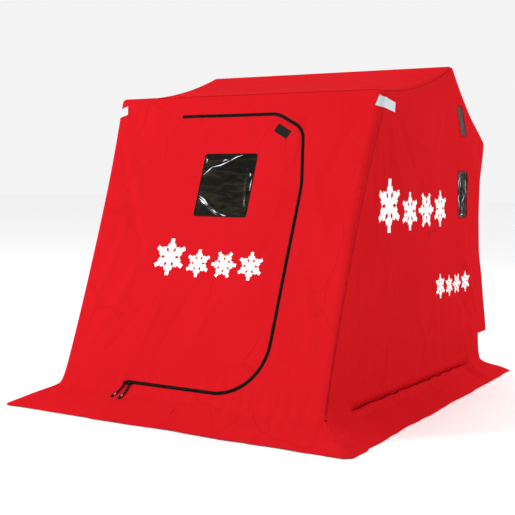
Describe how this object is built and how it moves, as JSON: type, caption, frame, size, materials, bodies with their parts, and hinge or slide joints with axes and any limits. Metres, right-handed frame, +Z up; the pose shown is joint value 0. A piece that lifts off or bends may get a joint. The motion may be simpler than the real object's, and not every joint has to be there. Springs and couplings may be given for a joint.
{
  "type": "ice fishing shelter",
  "caption": "Sled-based flip-over ice fishing shelter: red fabric shell on folding, telescoping bows, with a zipped door, windows, skirt and seats.",
  "frame": {"origin": "on the floor, at the middle of the skirt's rectangle", "axes": "+X across the shelter, -Y the way the door faces, +Y the sled's end, +Z up"},
  "size_m": [1.942, 2.19, 1.739],
  "materials": {
    "red_fabric": "coated plain weave, satin",
    "window_vinyl": "clear glossy vinyl, creased",
    "vent_mesh": "fine dark mesh",
    "zip_black": "black tape and moulded teeth",
    "reflective_tape": "pale retro-reflective tape",
    "sled_plastic": "moulded, lightly scuffed",
    "zinc_steel": "zinc plated",
    "black_steel": "black powder coat",
    "hoop_steel": "zinc plated tube",
    "aluminium_strip": "mill finish",
    "moulded_black": "moulded nylon",
    "seat_vinyl": "black grained vinyl"
  },
  "bodies": {
    "sled": {"sled_hull": "sled_plastic", "tow_grommets": "zinc_steel", "seat_rail_front": "black_steel", "seat_rail_rear": "black_steel", "pivot_bracket_right": "black_steel", "pivot_bracket_left": "black_steel", "pivot_bolts": "zinc_steel", "sled_fasteners": "zinc_steel", "rear_batten": "aluminium_strip", "back_wall": "red_fabric", "side_wall_right": "red_fabric", "side_wall_left": "red_fabric", "side_window_right": "window_vinyl", "side_window_left": "window_vinyl", "side_vents": "vent_mesh", "skirt_right": "red_fabric", "skirt_left": "red_fabric"},
    "rear_legs": {"rear_leg_right": "black_steel", "rear_leg_left": "black_steel"},
    "rear_hoop": {"rear_hoop": "hoop_steel", "rear_corner_caps": "moulded_black"},
    "rear_knob_right": {"rear_knob_right": "moulded_black"},
    "rear_knob_left": {"rear_knob_left": "moulded_black"},
    "ridge_legs": {"ridge_leg_right": "black_steel", "ridge_leg_left": "black_steel", "roof_rear_panel": "red_fabric"},
    "ridge_hoop": {"ridge_hoop": "hoop_steel", "ridge_corner_caps": "moulded_black"},
    "ridge_knob_right": {"ridge_knob_right": "moulded_black"},
    "ridge_knob_left": {"ridge_knob_left": "moulded_black"},
    "front_legs": {"front_leg_right": "black_steel", "front_leg_left": "black_steel", "roof_front_panel": "red_fabric", "front_wall": "red_fabric", "door_zipper": "zip_black", "reflective_tabs": "reflective_tape"},
    "front_hoop": {"front_hoop": "hoop_steel", "front_corner_caps": "moulded_black"},
    "front_knob_right": {"front_knob_right": "moulded_black"},
    "front_knob_left": {"front_knob_left": "moulded_black"},
    "ground_legs": {"ground_leg_right": "black_steel", "ground_leg_left": "black_steel", "skirt_front": "red_fabric"},
    "ground_hoop": {"ground_hoop": "hoop_steel", "ground_corner_caps": "moulded_black"},
    "ground_knob_right": {"ground_knob_right": "moulded_black"},
    "ground_knob_left": {"ground_knob_left": "moulded_black"},
    "door": {"door_panel": "red_fabric", "door_window": "window_vinyl", "door_patch": "zip_black"},
    "zip_upper": {"zip_slider_upper": "zip_black"},
    "zip_lower": {"zip_slider_lower": "zip_black"},
    "seat_left_carriage": {"seat_left_carriage": "moulded_black"},
    "seat_left_swivel": {"seat_left_pan": "moulded_black", "seat_left_cushion": "seat_vinyl"},
    "seat_left_back": {"seat_left_back": "seat_vinyl"},
    "seat_right_carriage": {"seat_right_carriage": "moulded_black"},
    "seat_right_swivel": {"seat_right_pan": "moulded_black", "seat_right_cushion": "seat_vinyl"},
    "seat_right_back": {"seat_right_back": "seat_vinyl"}
  },
  "joints": [
    {"name": "rear_fold", "type": "hinge", "parent": "sled", "child": "rear_legs", "pos_m": [0, 0.25, 0.32], "axis": [1, 0, 0], "range_deg": [-47.8, 0], "deforming": ["back_wall", "side_wall_right", "side_wall_left", "side_window_right", "side_window_left", "side_vents"]},
    {"name": "rear_telescope", "type": "slide", "parent": "rear_legs", "child": "rear_hoop", "axis": [0, 0.6184, 0.7859], "range_m": [-0.43, 0]},
    {"name": "rear_knob_right_turn", "type": "hinge", "parent": "rear_legs", "child": "rear_knob_right", "pos_m": [0.715, 0.70453, 0.8976], "axis": [1, 0, 0], "range_deg": [-270, 0]},
    {"name": "rear_knob_left_turn", "type": "hinge", "parent": "rear_legs", "child": "rear_knob_left", "pos_m": [-0.715, 0.70453, 0.8976], "axis": [1, 0, 0], "range_deg": [-270, 0]},
    {"name": "ridge_fold", "type": "hinge", "parent": "rear_legs", "child": "ridge_legs", "pos_m": [0, 0.25, 0.32], "axis": [1, 0, 0], "range_deg": [-22, 0], "deforming": ["roof_rear_panel"]},
    {"name": "ridge_telescope", "type": "slide", "parent": "ridge_legs", "child": "ridge_hoop", "axis": [0, 0.2113, 0.9774], "range_m": [-0.601, 0]},
    {"name": "ridge_knob_right_turn", "type": "hinge", "parent": "ridge_legs", "child": "ridge_knob_right", "pos_m": [0.659, 0.40532, 1.0384], "axis": [1, 0, 0], "range_deg": [-270, 0]},
    {"name": "ridge_knob_left_turn", "type": "hinge", "parent": "ridge_legs", "child": "ridge_knob_left", "pos_m": [-0.659, 0.40532, 1.0384], "axis": [1, 0, 0], "range_deg": [-270, 0]},
    {"name": "front_fold", "type": "hinge", "parent": "ridge_legs", "child": "front_legs", "pos_m": [0, 0.25, 0.32], "axis": [1, 0, 0], "range_deg": [-33.9, 0], "deforming": ["roof_front_panel", "reflective_tabs"]},
    {"name": "front_telescope", "type": "slide", "parent": "front_legs", "child": "front_hoop", "axis": [0, -0.4337, 0.9011], "range_m": [-0.522, 0]},
    {"name": "front_knob_right_turn", "type": "hinge", "parent": "front_legs", "child": "front_knob_right", "pos_m": [0.687, -0.06874, 0.98229], "axis": [1, 0, 0], "range_deg": [-270, 0]},
    {"name": "front_knob_left_turn", "type": "hinge", "parent": "front_legs", "child": "front_knob_left", "pos_m": [-0.687, -0.06874, 0.98229], "axis": [1, 0, 0], "range_deg": [-270, 0]},
    {"name": "ground_fold", "type": "hinge", "parent": "front_legs", "child": "ground_legs", "pos_m": [0, 0.25, 0.32], "axis": [1, 0, 0], "range_deg": [-74.2, 0], "deforming": ["front_wall", "door_zipper", "skirt_front", "skirt_right", "skirt_left"]},
    {"name": "ground_telescope", "type": "slide", "parent": "ground_legs", "child": "ground_hoop", "axis": [0, -0.9707, -0.2402], "range_m": [-0.3236, 0]},
    {"name": "ground_knob_right_turn", "type": "hinge", "parent": "ground_legs", "child": "ground_knob_right", "pos_m": [0.631, -0.46348, 0.14343], "axis": [1, 0, 0], "range_deg": [-270, 0]},
    {"name": "ground_knob_left_turn", "type": "hinge", "parent": "ground_legs", "child": "ground_knob_left", "pos_m": [-0.631, -0.46348, 0.14343], "axis": [1, 0, 0], "range_deg": [-270, 0]},
    {"name": "door_swing", "type": "hinge", "parent": "front_legs", "child": "door", "pos_m": [-0.345, -0.6499, 0.75069], "axis": [0, -0.3501, -0.9367], "range_deg": [0, 110], "deforming": ["door_panel", "door_window", "door_patch"]},
    {"name": "zip_upper_slide", "type": "slide", "parent": "front_legs", "child": "zip_upper", "axis": [1, 0, 0], "range_m": [0, 0.5]},
    {"name": "zip_lower_slide", "type": "slide", "parent": "front_legs", "child": "zip_lower", "axis": [1, 0, 0], "range_m": [0, 0.46]},
    {"name": "seat_left_slide", "type": "slide", "parent": "sled", "child": "seat_left_carriage", "axis": [1, 0, 0], "range_m": [-0.05, 0.05]},
    {"name": "seat_left_swivel", "type": "hinge", "parent": "seat_left_carriage", "child": "seat_left_swivel", "pos_m": [-0.3, 0.6, 0.31], "axis": [0, 0, 1], "continuous": true},
    {"name": "seat_left_back_fold", "type": "hinge", "parent": "seat_left_swivel", "child": "seat_left_back", "pos_m": [-0.3, 0.795, 0.418], "axis": [-1, 0, 0], "range_deg": [-98, 0]},
    {"name": "seat_right_slide", "type": "slide", "parent": "sled", "child": "seat_right_carriage", "axis": [1, 0, 0], "range_m": [-0.05, 0.05]},
    {"name": "seat_right_swivel", "type": "hinge", "parent": "seat_right_carriage", "child": "seat_right_swivel", "pos_m": [0.3, 0.6, 0.31], "axis": [0, 0, 1], "continuous": true},
    {"name": "seat_right_back_fold", "type": "hinge", "parent": "seat_right_swivel", "child": "seat_right_back", "pos_m": [0.3, 0.795, 0.418], "axis": [-1, 0, 0], "range_deg": [-98, 0]}
  ],
  "couplings": [
    {"joint": "zip_lower_slide", "follows": "zip_upper_slide", "ratio": 0.9}
  ]
}
